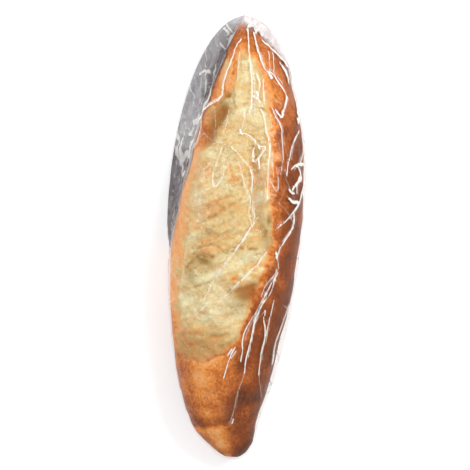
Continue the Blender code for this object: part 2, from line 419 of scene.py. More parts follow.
def loose_feet(y):
    """The section of the loose film's edges: they ease from the loaf's base out to the bag's outline.

    That is all down the left of the upper half, and round the top end.
    """
    width = bag_half_width(y)
    base = 0.62 * loaf_half_width(y)
    left_loose, right_loose = eased(-120.0, 10.0, y), eased(85.0, 150.0, y)
    left = -(base + (width - base) * left_loose)
    right = base + (width - base) * right_loose
    low = tip_lift(y) * (1.0 - right_loose)
    heights = np.array([low, low + 3.0 * left_loose, low, low + 3.0 * right_loose])
    return np.array([left, left, right, right]), heights


def stretched_section(y, count, gap):
    """The film's section at y, as count points along it from the middle of the base, closer together on top.

    It is the hull of the bread and the loose film's feet, found by its support function: in each direction
    from the middle, the nearest of the straight lines that hold every point on their inner side.
    """
    x, z = loaf_section(y, np.linspace(0.0, 2.0 * np.pi, 240, endpoint=False), gap)
    foot_x, foot_z = loose_feet(y)
    lift = tip_lift(y)
    centre = np.array([loaf_centre(y), lift + BELLY_SHARE * (crest_height(y) - lift)])
    points = np.stack([np.append(x, foot_x), np.append(z, foot_z)], axis=1) - centre
    turn = np.linspace(-0.5 * np.pi, 1.5 * np.pi, 721)
    ways = np.stack([np.cos(turn), np.sin(turn)], axis=1)
    support = (points @ ways.T).max(axis=0)
    facing = ways @ ways.T
    reach = np.where(facing > 0.02, support[None, :] / np.maximum(facing, 0.02), np.inf).min(axis=1)
    outline = centre + reach[:, None] * ways
    run = np.append(0.0, np.cumsum(np.hypot(*np.diff(outline, axis=0).T)))
    even = np.linspace(0.0, 1.0, count, endpoint=False)
    shares = np.interp(even, (0.0, 0.1, 0.9, 1.0), (0.0, 0.2, 0.8, 1.0))
    places = run[-1] * shares
    return np.interp(places, run, outline[:, 0]), np.interp(places, run, outline[:, 1])


def stations(low, high, count, crowding):
    """Distances from low to high, blended between even spacing and cosine spacing that crowds the ends."""
    t = np.linspace(0.0, 1.0, count)
    t = (1.0 - crowding) * t + crowding * 0.5 * (1.0 - np.cos(np.pi * t))
    return low + (high - low) * t


def ripples(points, size, seed, waves=30):
    """Smooth noise of unit spread: the sum of cosine waves of about this size in random directions."""
    rng = np.random.default_rng(seed)
    ways = rng.normal(size=(3, waves))
    ways *= 2.0 * np.pi / size * rng.uniform(0.6, 1.5, waves) / np.linalg.norm(ways, axis=0)
    return np.cos(points @ ways + rng.uniform(0.0, 2.0 * np.pi, waves)).sum(axis=-1) / math.sqrt(0.5 * waves)


def rounded_path(path, closed, rounds=2):
    """The path with its corners cut twice, each time at a quarter of both sides."""
    path = np.array(path, float)
    for _ in range(rounds):
        following = np.roll(path, -1, axis=0) if closed else path[1:]
        before = path if closed else path[:-1]
        cut = np.stack([0.75 * before + 0.25 * following, 0.25 * before + 0.75 * following], axis=1)
        path = cut.reshape(-1, 2) if closed else np.concatenate([path[:1], cut.reshape(-1, 2), path[-1:]])
    return path


def distance_to_path(x, y, path):
    """The distance from each point to the nearest straight run of the path."""
    nearest = np.full(x.shape, 1e6)
    for start, end in zip(path[:-1], path[1:]):
        run = end - start
        along = ((x - start[0]) * run[0] + (y - start[1]) * run[1]) / max(float(run @ run), 1e-9)
        along = np.clip(along, 0.0, 1.0)
        away = (x - start[0] - along * run[0]) ** 2 + (y - start[1] - along * run[1]) ** 2
        nearest = np.minimum(nearest, away)
    return np.sqrt(nearest)


def depth_inside(x, y, outline):
    """The distance to a closed outline, positive where a level ray crosses it an odd number of times."""
    path = rounded_path(outline, True)
    path = np.concatenate([path, path[:1]])
    crossings = np.zeros(x.shape, int)
    for start, end in zip(path[:-1], path[1:]):
        spans = (start[1] > y) != (end[1] > y)
        rise = end[1] - start[1] if end[1] != start[1] else 1e-9
        crossings += spans & (x < start[0] + (end[0] - start[0]) * (y - start[1]) / rise)
    return np.where(crossings % 2 == 1, 1.0, -1.0) * distance_to_path(x, y, path)


def surface_normals(points):
    """Outward unit normals of a closed grid of sections, from the differences to its neighbours."""
    around = np.roll(points, -1, axis=1) - np.roll(points, 1, axis=1)
    along = np.gradient(points, axis=0)
    normal = np.cross(along, around)
    return normal / np.maximum(np.linalg.norm(normal, axis=2, keepdims=True), 1e-9)


def closed_mesh(name, points, attributes):
    """Turns a grid of sections into one closed mesh: quads between them and a fan of triangles at each end.

    points is rows by columns by 3, in millimetres, each section running right, up and left from its base.
    """
    rows, columns = points.shape[:2]
    index = np.arange(rows * columns).reshape(rows, columns)
    following = np.roll(index, -1, axis=1)
    quads = np.stack([index[:-1], index[1:], following[1:], following[:-1]], axis=-1).reshape(-1, 4)
    low_tip, high_tip = rows * columns, rows * columns + 1
    low_fan = np.stack([index[0], following[0], np.full(columns, low_tip)], axis=1)
    high_fan = np.stack([following[-1], index[-1], np.full(columns, high_tip)], axis=1)
    tips = np.stack([points[0].mean(axis=0), points[-1].mean(axis=0)])
    verts = np.concatenate([points.reshape(-1, 3), tips]) * MM
    if not np.isfinite(verts).all():
        raise ValueError(f"{name} has points that are not numbers")
    corners = np.concatenate([quads.ravel(), low_fan.ravel(), high_fan.ravel()])
    sizes = np.concatenate([np.full(len(quads), 4), np.full(2 * columns, 3)])
    mesh = bpy.data.meshes.new(name)
    mesh.vertices.add(len(verts))
    mesh.vertices.foreach_set("co", verts.astype(np.float32).ravel())
    mesh.loops.add(len(corners))
    mesh.loops.foreach_set("vertex_index", corners.astype(np.int32))
    mesh.polygons.add(len(sizes))
    mesh.polygons.foreach_set("loop_start", np.append(0, np.cumsum(sizes)[:-1]).astype(np.int32))
    mesh.update(calc_edges=True)
    mesh.validate()
    mesh.shade_smooth()
    for label, values in attributes.items():
        values = np.concatenate([values.ravel(), [values[0].mean(), values[-1].mean()]])
        layer = mesh.attributes.new(label, "FLOAT", "POINT")
        layer.data.foreach_set("value", values.astype(np.float32))
    piece = bpy.data.objects.new(name, mesh)
    bpy.context.scene.collection.objects.link(piece)
    return piece


# ---------------------------------------------------------------------------------------------------------
# Material recipes


class Value:
    """A socket of a material's node tree; arithmetic on it adds Math nodes and gives the result's socket."""

    def __init__(self, recipe, socket):
        self.recipe = recipe
        self.socket = socket

    def maths(self, operation, first, second=0.0):
        """The result of one Math node."""
        return self.recipe.node("ShaderNodeMath", {"operation": operation}, {0: first, 1: second})

    def __add__(self, other):
        return self.maths("ADD", self, other)

    def __sub__(self, other):
        return self.maths("SUBTRACT", self, other)

    def __rsub__(self, other):
        return self.maths("SUBTRACT", other, self)

    def __mul__(self, other):
        return self.maths("MULTIPLY", self, other)

    def __truediv__(self, other):
        return self.maths("DIVIDE", self, other)

    def __pow__(self, other):
        return self.maths("POWER", self, other)

    __radd__ = __add__
    __rmul__ = __mul__

    def size(self):
        """The value without its sign."""
        return self.maths("ABSOLUTE", self)

    def at_most(self, other):
        """The smaller of the two."""
        return self.maths("MINIMUM", self, other)

    def at_least(self, other):
        """The larger of the two."""
        return self.maths("MAXIMUM", self, other)

    def eased(self, low, high):
        """0 below low, 1 above high, and a smooth S between them."""
        limits = {"Value": self, "From Min": low, "From Max": high}
        return self.recipe.node("ShaderNodeMapRange", {"interpolation_type": "SMOOTHSTEP"}, limits)


class Recipe:
    """Builds one material's nodes."""

    def __init__(self, name):
        self.material = bpy.data.materials.new(name)
        self.material.use_nodes = True
        self.tree = self.material.node_tree
        self.tree.nodes.clear()

    def node(self, kind, settings=None, inputs=None, output=0):
        """Adds one node: its settings first, then a value or a link for each named socket."""
        made = self.tree.nodes.new(kind)
        for name, value in (settings or {}).items():
            if name == "stops":
                self.set_stops(made.color_ramp, value)
            else:
                setattr(made, name, value)
        for name, value in (inputs or {}).items():
            if isinstance(value, Value):
                self.tree.links.new(value.socket, made.inputs[name])
            else:
                made.inputs[name].default_value = value
        return Value(self, made.outputs[output])

    @staticmethod
    def set_stops(ramp, stops):
        """Gives a colour ramp its stops, each as (place, colour)."""
        while len(ramp.elements) < len(stops):
            ramp.elements.new(1.0)
        for element, (place, colour) in zip(ramp.elements, stops):
            element.position = place
            element.color = (*colour, 1.0)

    def attribute(self, name):
        """A number kept at each point of the mesh."""
        return self.node("ShaderNodeAttribute", {"attribute_name": name}, output="Fac")

    def place(self):
        """Object coordinates, in metres."""
        return self.node("ShaderNodeTexCoord", output="Object")

    def noise(self, scale, detail=2.0, roughness=0.5, stretch=(1.0, 1.0, 1.0)):
        """Noise on Object coordinates, in features about 1/scale metres across."""
        place = self.node("ShaderNodeVectorMath", {"operation": "MULTIPLY"}, {0: self.place(), 1: stretch})
        inputs = {"Vector": place, "Scale": scale, "Detail": detail, "Roughness": roughness}
        return self.node("ShaderNodeTexNoise", {"normalize": True}, inputs)

    def cells(self, scale):
        """The distance to the nearest of scattered points on Object coordinates."""
        return self.node("ShaderNodeTexVoronoi", None, {"Vector": self.place(), "Scale": scale})

    def colours(self, factor, first, second, blend="MIX"):
        """The first colour, blended by factor with the second."""
        inputs = {0: factor, 6: self.solid(first), 7: self.solid(second)}
        settings = {"data_type": "RGBA", "blend_type": blend}
        return self.node("ShaderNodeMix", settings, inputs, output=2)

    @staticmethod
    def solid(colour):
        """A plain colour with its alpha of 1, or a linked one as it is."""
        return colour if isinstance(colour, Value) else (*colour[:3], 1.0)

    def bump(self, height, distance, strength=1.0):
        """A normal tilted by the slope of height, where a height of 1 is distance in metres."""
        inputs = {"Height": height, "Distance": distance, "Strength": strength}
        return self.node("ShaderNodeBump", None, inputs)

    def finish(self, shader):
        """Links the shader to the material's output and gives the material."""
        output = self.tree.nodes.new("ShaderNodeOutputMaterial")
        self.tree.links.new(shader.socket, output.inputs["Surface"])
        return self.material


# ---------------------------------------------------------------------------------------------------------
# The bread


def pitted(x, y, rng, count, low, high, reach):
    """Small round pits scattered evenly in a box from above: the deepest of the bell curves round each."""
    centres = rng.uniform(low, high, (count, 2))
    sizes = rng.uniform(*reach, count)
    pits = np.zeros(x.shape)
    for centre, size in zip(centres, sizes):
        pits = np.maximum(pits, spot(x, y, centre, (size, 1.4 * size)) * rng.uniform(0.5, 1.0))
    return pits


def bread_surface(settings):
    """The bread's grid and what its finish needs at each point.

    The smooth section is pushed in and out along its normal: down inside the opened cut and deepest along its
    right border, up in the lip beside it, with long slanting furrows, lumps, pits and the torn flap.
    """
    rows, columns = 372, 262
    y = stations(LOAF_LOW_END + 1.0, LOAF_TOP_END - 1.0, rows, 0.25)[:, None]
    gap = -settings.film_gap / MM + 1.3 * eased(-90.0, -130.0, y)
    place = np.linspace(0.0, 1.0, columns, endpoint=False)
    turn = np.interp(place, (0.0, 0.17, 0.83, 1.0), (-0.5 * np.pi, 0.0, np.pi, 1.5 * np.pi))[None, :]
    x, z = loaf_section(y, turn, gap)
    x = loaf_centre(y) + (x - loaf_centre(y)) * (1.0 - 0.34 * eased(158.0, 186.0, y))
    x = x - 3.6 * hump(y, -170.0, 9.0) * eased(6.0, -16.0, x)
    x = x - 2.0 * eased(8.0, 40.0, x) * eased(-50.0, -90.0, y) * eased(-180.0, -155.0, y)
    points = np.stack([x, np.broadcast_to(y, x.shape), z], axis=2)
    y = points[..., 1]
    upper = eased(0.40, 0.55, z / crest_height(y))

    wobble = 1.2 * ripples(points, 26.0, 11) + 0.5 * ripples(points, 10.0, 12)
    wobble = wobble + 0.12 * ripples(points, 5.0, 14)
    inside = depth_inside(x, y, CUT_OUTLINE) + wobble
    crumbly = 0.6 * ripples(points, 6.0, 15) + 0.6 * ripples(points, 3.2, 16)
    hard = eased(-45.0, -65.0, y) * (x > -20.0) + hump(y, 10.0, 16.0) * (x > 0.0)
    opened = eased(-4.8 + 4.0 * hard, 4.6 - 3.6 * hard, inside + crumbly * (1.0 - 0.7 * hard)) * upper
    gold = eased(-1.0, 3.0, depth_inside(x, y, TORN_FLAP) + crumbly)
    gold = gold * eased(-24.0, -16.0, x + 0.8 * crumbly) * upper
    opened = np.maximum(opened, 0.9 * gold)
    band_path = rounded_path(((40, -20), (26, -27), (12, -34), (-2, -40)), False)
    band = hump(distance_to_path(x, y, band_path), 0.0, 5.0)
    within = np.maximum(inside, 0.0)
    soft = 2.0 + 2.6 * eased(35.0, 60.0, y)
    sunken = eased(-soft, soft, inside) * upper
    right = eased(-5.0, 12.0, x - np.interp(y, CUT_MIDDLE_Y, CUT_MIDDLE_X)) * upper
    lip_life = np.clip(0.7 + 0.45 * ripples(points, 26.0, 13), 0.1, 1.4)
    lip = 0.8 * hump(inside, -3.4, 4.4) * right * lip_life * eased(-112.0, -85.0, y) * eased(150.0, 120.0, y)

    slant = math.radians(22.0)
    along = x * math.cos(slant) + y * math.sin(slant)
    across = y * math.cos(slant) - x * math.sin(slant)
    drawn = np.stack([0.16 * along, across, 0.3 * z], axis=2)
    fine_marks = np.abs(ripples(drawn, 8.0, 21)) * (0.35 + 0.65 * spot(x, y, (-12.0, 5.0), (20.0, 45.0)))
    ragged = 0.6 * ripples(points, 7.0, 25)
    furrow = np.zeros(x.shape)
    beside = np.zeros(x.shape)
    for depth, *path in FURROWS:
        path = rounded_path(path, False)
        away = np.abs(distance_to_path(x, y, path) + ragged)
        furrow = np.maximum(furrow, depth * hump(away, 0.0, 1.1))
        beside = np.maximum(beside, depth * hump(distance_to_path(x, y + 3.2, path), 0.0, 3.0))
    lumps = 0.85 * ripples(points, 26.0, 22) + 0.38 * ripples(points, 9.0, 23)
    lumps = lumps + 0.16 * ripples(points, 3.6, 24)

    valley_path = rounded_path(((16, 74), (18, 60), (19, 35), (22, 12), (28, 1), (31, -8)), False)
    valley = hump(distance_to_path(x, y, valley_path), 0.0, 5.0)
    hole = spot(x, y, (30.5, 12.5), (2.2, 4.0)) + 0.7 * spot(x, y, (28.0, 3.0), (2.0, 3.0))
    dent = spot(x, y, (-25.0, -24.0), (9.0, 6.0)) + 0.7 * spot(x, y, (-35.0, -35.0), (4.0, 9.0))
    shade = spot(x, y, (12.0, -50.0), (11.0, 7.0)) + 0.8 * spot(x, y, (19.0, -46.0), (6.0, 5.0))
    # A dip under the torn flap, which is also painted darker as the flap's shadow.
    notch_path = rounded_path(((-17, 105), (-23, 94), (-28, 78)), False)
    shadowed_notch = hump(distance_to_path(x, y, notch_path), 0.0, 7.0) * (0.45 + 0.55 * eased(72.0, 94.0, y))
    shadowed_notch = shadowed_notch + 0.8 * spot(x, y, (-13.0, 118.0), (4.5, 2.6))
    flap = depth_inside(x, y, TORN_FLAP) + 0.5 * wobble
    flap_edge = eased(-0.6, 0.8, flap) * eased(142.0, 116.0, y) * upper
    blister = np.hypot((x + 38.0) / 3.0, (y - 4.0) / 6.0)

    rng = np.random.default_rng(5)
    pits = pitted(x, y, rng, 40, (-43.0, -60.0), (-36.0, 46.0), (0.4, 0.9))
    pits = np.maximum(pits, pitted(x, y, rng, 30, (33.0, -60.0), (43.0, 100.0), (0.3, 0.7)))
    pits = np.maximum(pits, pitted(x, y, rng, 60, (-38.0, -104.0), (28.0, 130.0), (0.4, 0.9)))
    pits = np.maximum(pits, pitted(x, y, rng, 26, (-10.0, 44.0), (2.0, 60.0), (0.5, 1.0)))
    pits = pits * upper

    low_tip = depth_inside(x, y, LOW_TIP) + 0.5 * ripples(points, 8.0, 47)
    swollen = eased(-2.0, 2.0, low_tip)
    end_crease = hump(low_tip, -2.0, 2.2) * eased(0.6, 0.85, z / crest_height(y))

    rise = 0.35 * ripples(points, 40.0, 31) + 0.12 * ripples(points, 12.0, 32)
    rise = rise + settings.lip_rise / MM * lip
    groove = settings.groove_depth / MM * right * eased(105.0, 45.0, y) * np.exp(-within / 8.0)
    rise = rise - sunken * (1.0 + groove)
    rise = rise + sunken * (lumps - 0.45 * fine_marks - 0.9 * furrow + 0.8 * beside)
    rise = rise + sunken * (1.3 * spot(x, y, (-12.0, 0.0), (17.0, 75.0)) + 1.2 * band)
    rise = rise - sunken * (1.8 * valley + 2.4 * hole + 1.4 * dent + 1.8 * shade)
    rise = rise - 3.4 * shadowed_notch * upper + 1.7 * flap_edge
    rise = rise - 0.2 * pits - 0.7 * end_crease + 0.8 * hump(blister, 0.0, 0.9) * upper
    taper = np.minimum(1.0, loaf_half_width(y) / 18.0)
    points = points + (taper * np.minimum(rise, 1.8))[..., None] * surface_normals(points)
    points[..., 0] -= 0.6 * right * hump(inside, -0.4, 1.9) * eased(-112.0, -85.0, y) * eased(60.0, 35.0, y)
    points[..., 2] = np.maximum(points[..., 2], 0.5)

    flank = (x - loaf_centre(y)) / loaf_half_width(y)
    on_right = eased(-0.5, 0.5, flank)
    # The crust is darker on the right flank, and darker still towards its right edge.
    crust = 0.39 + 0.33 * on_right + 0.13 * eased(0.5, 1.0, flank)
    crust = crust + 0.08 * eased(-20.0, -70.0, y) * eased(-0.1, 0.5, flank)
    crust = crust + 0.08 * eased(-96.0, -118.0, y) * (1.0 - on_right)
    low_band = (1.0 - swollen) * np.exp(np.minimum(low_tip, 0.0) / 15.0) * eased(-120.0, -140.0, y)
    uneven = 0.9 + 0.15 * ripples(points, 22.0, 44)
    crust = crust + 0.19 * low_band * uneven * (1.0 - 0.6 * eased(0.2, 0.9, flank))
    crust = crust - 0.02 * swollen * (1.0 - on_right) - 0.05 * hump(low_tip, 1.2, 2.2) * (1.0 - on_right)
    crust = crust + 0.10 * eased(-172.0, -188.0, y + 2.0 * ripples(points, 9.0, 46) - 0.25 * (x - 6.0))
    crust = crust + 0.08 * eased(150.0, 178.0, y) + 0.23 * eased(60.0, 110.0, y) * (1.0 - on_right)
    crust = crust - 0.13 * eased(70.0, 120.0, y) * on_right
    crust = crust + 0.16 * eased(0.42, 0.10, z / crest_height(y)) * (1.0 - eased(0.5, 0.9, flank))
    crust = crust - 0.04 * hump(inside, -2.0, 3.5) * right
    crust = crust + 0.16 * eased(-50.0, -85.0, y) * eased(-0.55, -0.85, flank)
    crust = crust + 0.02 * ripples(points, 17.0, 45)
    cut = 0.10 + 0.03 * ripples(points, 30.0, 41) + 0.035 * ripples(drawn, 9.0, 42)
    cut = cut + 0.12 * spot(x, y, (-14.0, 8.0), (19.0, 42.0)) - 0.07 * spot(x, y, (12.0, -22.0), (14.0, 10.0))
    cut = cut + 0.16 * eased(-66.0, -92.0, y) - 0.10 * spot(x, y, (-18.0, -60.0), (20.0, 12.0))
    cut = cut + 0.09 * spot(x, y, (4.0, 80.0), (17.0, 8.0)) + 0.10 * spot(x, y, (16.0, 2.0), (9.0, 12.0))
    cut = cut - 0.06 * spot(x, y, (8.0, 101.0), (14.0, 9.0)) - 0.05 * spot(x, y, (-2.0, -29.0), (13.0, 7.0))
    cut = cut + 0.14 * hump(within, 0.0, 3.5) + 0.30 * band * (0.6 + 0.5 * ripples(points, 8.0, 43))
    # Painted shade: the cut is darker in its furrows, in the shade spot and in the notch under the torn flap.
    cut = cut + 0.02 * gold + 0.06 * furrow + 0.10 * shade + 0.24 * np.clip(shadowed_notch, 0.0, 1.0)
    bake = crust + (cut - crust) * opened + 0.22 * pits + 0.10 * hump(blister, 1.0, 0.3) * upper
    freckle = spot(x, y, (-4.0, 50.0), (7.0, 9.0)) + 0.6 * spot(x, y, (16.0, 50.0), (8.0, 20.0))
    freckle = freckle + 0.6 * spot(x, y, (-27.0, 55.0), (6.0, 12.0))
    freckle = freckle + 0.6 * spot(x, y, (-36.0, -96.0), (8.0, 12.0))
    # Painted shade: the valley, hole, dent, shade spot, furrows, stretch marks, the notch under the torn flap
    # and the cut's low end are darkened.
    hollow_shade = 0.50 * valley + 0.8 * hole + 0.85 * dent + 1.0 * shade + 0.55 * furrow + 0.18 * fine_marks
    sunk = opened * hollow_shade
    sunk = sunk + 1.15 * shadowed_notch * upper * (1.0 - flap_edge) + 0.42 * opened * eased(-74.0, -98.0, y)
    attributes = {
        "bake": bake,
        "opened": opened,
        "freckle": freckle * upper,
        "sunk": np.clip(sunk, 0.0, 1.0),
    }
    return points, attributes


def bread_material(settings):
    """Baked bread: one ramp from pale crumb to scorched crust, mottled, floury in the cut, with painted shade
    in its hollows.
    """
    recipe = Recipe("baked_bread")
    opened, sunk = recipe.attribute("opened"), recipe.attribute("sunk")
    mottle = recipe.noise(70.0, 3.0, 0.55) - 0.5
    grain = recipe.noise(420.0, 3.0, 0.6) - 0.5
    streaks = recipe.noise(260.0, 2.0, 0.5, (0.35, 1.0, 1.0)) - 0.5
    speckle = recipe.noise(520.0, 2.0, 0.5).eased(0.60, 0.72)
    freckle = recipe.attribute("freckle") * recipe.noise(210.0, 3.0, 0.65).eased(0.46, 0.60)
    bake = recipe.attribute("bake") + 0.20 * mottle + 0.20 * grain + opened * (0.16 * grain + 0.20 * streaks)
    bake = bake + 0.34 * freckle + 0.05 * speckle * (1.0 - opened)
    wander = (recipe.noise(190.0, 3.0, 0.6, (0.6, 1.0, 1.0)) - 0.5).size()
    skin = 1.0 - opened
    bake = bake + skin * (0.20 * mottle + 0.26 * grain)
    dark_specks = recipe.noise(640.0, 2.0).eased(0.64, 0.70)
    bake = bake + skin * (0.10 * recipe.noise(760.0, 2.0, 0.6) - 0.05 + 0.16 * dark_specks)
    # Painted shade: thin dark lines in the cut, darkened by the hollows colour.
    crack_shade = (1.0 - wander / 0.016).at_least(0.0) * recipe.noise(85.0, 1.0, 0.5).eased(0.50, 0.60) * opened
    stops = (
        (0.0, settings.crumb_colour),
        (0.20, settings.straw_colour),
        (0.36, settings.pale_crust_colour),
        (0.48, settings.golden_colour),
        (0.62, settings.orange_colour),
        (0.79, settings.brown_colour),
        (1.0, settings.dark_colour),
    )
    colour = recipe.node("ShaderNodeValToRGB", {"stops": stops}, {"Fac": bake})
    # Painted shade in the cut's hollows and cracks: the colour is multiplied by the hollows colour there.
    colour = recipe.colours((sunk + 0.75 * crack_shade).at_most(1.0), colour, settings.hollow_colour, "MULTIPLY")
    crumbly = recipe.noise(900.0, 3.0, 0.65) * opened + recipe.noise(300.0, 2.0, 0.5) * (0.35 + 0.65 * opened)
    pores = recipe.cells(620.0).eased(0.05, 0.42) * opened
    relief = recipe.bump((0.35 + 0.65 * opened) * (crumbly + 0.7 * pores), 0.0007, 0.8)
    roughness = 0.50 + 0.38 * opened
    shader = recipe.node(
        "ShaderNodeBsdfPrincipled",
        None,
        {"Base Color": colour, "Roughness": roughness, "Normal": relief, "Specular IOR Level": 0.10},
    )
    return recipe.finish(shader)


class OBJECT_OT_build_bread(bpy.types.Operator):
    """Builds the loaf with its opened cut, torn lip and pits"""

    bl_idname = "bagged_loaf.build_bread"
    bl_label = "Build bread"

    def execute(self, context):
        settings = context.scene.bagged_loaf_bread
        points, attributes = bread_surface(settings)
        bread = closed_mesh("bread", points, attributes)
        bread.data.materials.append(bread_material(settings))
        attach(bread, "root")
        return {"FINISHED"}


# ---------------------------------------------------------------------------------------------------------
# The film


def unrolled(x, z):
    """How far round the film each point is from the bag's top line at x = 0, positive to the right."""
    steps = np.hypot(np.diff(x, axis=1), np.diff(z, axis=1))
    run = np.concatenate([np.zeros((len(x), 1)), np.cumsum(steps, axis=1)], axis=1)
    upper = np.where(z > 0.35 * z.max(axis=1, keepdims=True), np.abs(x), 1e6)
    top = np.take_along_axis(run, upper.argmin(axis=1)[:, None], axis=1)
    return top - run


def fold_points(fold, x, y, upward, around):
    """A fold's points carried from the view from above to the unrolled film, by its section at each point."""
    carried = []
    for point_x, point_y in fold:
        row = int(np.abs(y[:, 0] - point_y).argmin())
        column = int(np.where(upward[row] > 0.02, np.abs(x[row] - point_x), 1e6).argmin())
        carried.append((around[row, column], point_y))
    return rounded_path(carried, False, 1)


def small_folds(count, widest):
    """Short random folds on the unrolled film: two or three straight runs, most of them nearly lengthwise."""
    rng = np.random.default_rng(77)
    folds = []
    for _ in range(count):
        place = np.array([rng.uniform(-widest, widest), rng.uniform(-185.0, 188.0)])
        heading = rng.normal(0.0, 0.55)
        path = [place]
        for _ in range(rng.integers(2, 4)):
            heading += rng.normal(0.0, 0.45)
            path.append(path[-1] + rng.uniform(4.0, 17.0) * np.array([math.sin(heading), math.cos(heading)]))
        folds.append((rng.uniform(0.15, 0.45), np.array(path)))
    return folds


def skimmed(reach, spread):
    """The largest value within spread points each way, and then the mean of those over the same window."""
    for combine in (np.max, np.mean):
        for axis in (1, 0):
            margins = [(spread, spread) if axis == k else (0, 0) for k in (0, 1)]
            padded = np.pad(reach, margins, "wrap" if axis else "edge")
            places = np.arange(reach.shape[axis])
            window = [np.take(padded, places + k, axis=axis) for k in range(2 * spread + 1)]
            reach = combine(np.stack(window), axis=0)
    return reach


def held_outside(points, bread, gap):
    """Moves every point of the film that would lie in the bread out to gap from it, skimming over its bumps.

    Both are measured from the middle of the bread's own section at the same y, by angle and radius.
    """
    row_y = bread[..., 1].mean(axis=1)
    y = points[..., 1].mean(axis=1)
    row = np.clip(np.searchsorted(row_y, y) - 1, 0, len(row_y) - 2)
    share = np.clip((y - row_y[row]) / (row_y[row + 1] - row_y[row]), 0.0, 1.0)[:, None, None]
    section = (1.0 - share) * bread[row] + share * bread[row + 1]
    lift = tip_lift(y)
    middle = np.stack([loaf_centre(y), lift + BELLY_SHARE * (crest_height(y) - lift)], axis=1)[:, None, :]
    bread_arm = section[..., [0, 2]] - middle
    film_arm = points[..., [0, 2]] - middle
    bread_angle = np.arctan2(bread_arm[..., 1], bread_arm[..., 0])
    film_angle = np.arctan2(film_arm[..., 1], film_arm[..., 0])
    bread_reach = np.hypot(bread_arm[..., 0], bread_arm[..., 1])
    film_reach = np.hypot(film_arm[..., 0], film_arm[..., 1])
    needed = np.zeros(film_reach.shape)
    for index in np.flatnonzero((y > row_y[0]) & (y < row_y[-1])):
        angles, reaches = bread_angle[index], bread_reach[index]
        needed[index] = np.interp(film_angle[index], angles, reaches, period=2.0 * np.pi)
    film_reach = np.maximum(film_reach, skimmed(needed, 2) + gap)
    held = points.copy()
    held[..., 0] = middle[..., 0] + film_reach * np.cos(film_angle)
    held[..., 2] = middle[..., 1] + film_reach * np.sin(film_angle)
    return held


def companions(folds):
    """A fainter fold a millimetre or two beside each long one, along the middle of it."""
    rng = np.random.default_rng(8)
    added = []
    for power, path in folds:
        if len(path) < 7 or power > 1.1:
            continue
        start = rng.integers(1, len(path) // 2)
        part = path[start : start + len(path) // 2 + 1]
        side = rng.choice((-1.0, 1.0)) * rng.uniform(1.1, 2.4)
        run = np.gradient(part, axis=0)
        run = run / np.maximum(np.linalg.norm(run, axis=1, keepdims=True), 1e-6)
        apart = side * np.linspace(0.4, 1.3, len(part))[:, None]
        added.append((0.62 * power, part + apart * np.stack([run[:, 1], -run[:, 0]], axis=1)))
    return added


